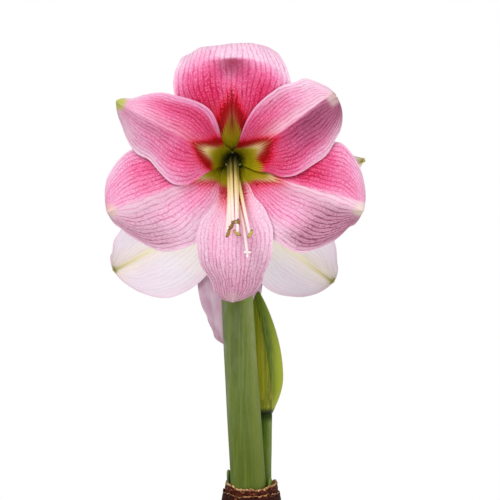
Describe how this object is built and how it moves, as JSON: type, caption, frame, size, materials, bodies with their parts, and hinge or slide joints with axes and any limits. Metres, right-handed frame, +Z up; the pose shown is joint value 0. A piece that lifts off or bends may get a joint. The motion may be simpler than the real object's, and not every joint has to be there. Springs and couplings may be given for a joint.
{
  "type": "potted amaryllis plant",
  "caption": "Amaryllis bulb in a plain clay pot, with a scape carrying open pink trumpet blooms and a second scape with a closed green bud.",
  "frame": {"origin": "middle of the pot's underside, on the surface that the pot stands on", "axes": "+Z up, -Y the way the front bloom faces, +X to the right seen from in front"},
  "size_m": [0.2284, 0.271, 0.5481],
  "materials": {
    "clay": "matte",
    "soil": "matte",
    "tunic": "matte",
    "scape": "satin",
    "bud_scape": "satin",
    "bud_olive": "satin",
    "bud_green": "satin",
    "leaf": "satin",
    "bract": "matte",
    "pedicel": "satin",
    "tepal": "satin",
    "tepal_pale": "satin",
    "stamens": "satin",
    "pistil": "satin"
  },
  "bodies": {
    "root": {"pot": "clay", "soil": "soil", "bulb": "tunic", "flower_scape": "scape", "bud_scape": "bud_scape", "bud_valve_left": "bud_olive", "bud_valve_right": "bud_green", "leaf_tip_left": "leaf", "leaf_tip_right": "leaf", "spathe_bract_front": "bract", "spathe_bract_back": "bract", "pedicel_front": "pedicel", "tepal_front_top": "tepal", "tepal_front_upper_left": "tepal", "tepal_front_upper_right": "tepal", "tepal_front_lower_left": "tepal", "tepal_front_lower_right": "tepal", "tepal_front_bottom": "tepal_pale", "stamens_front": "stamens", "pistil_front": "pistil", "pedicel_rear": "pedicel", "tepal_rear_top": "tepal", "tepal_rear_upper_left": "tepal", "tepal_rear_upper_right": "tepal", "tepal_rear_lower_left": "tepal", "tepal_rear_lower_right": "tepal", "tepal_rear_bottom": "tepal_pale", "stamens_rear": "stamens", "pistil_rear": "pistil"}
  },
  "joints": []
}
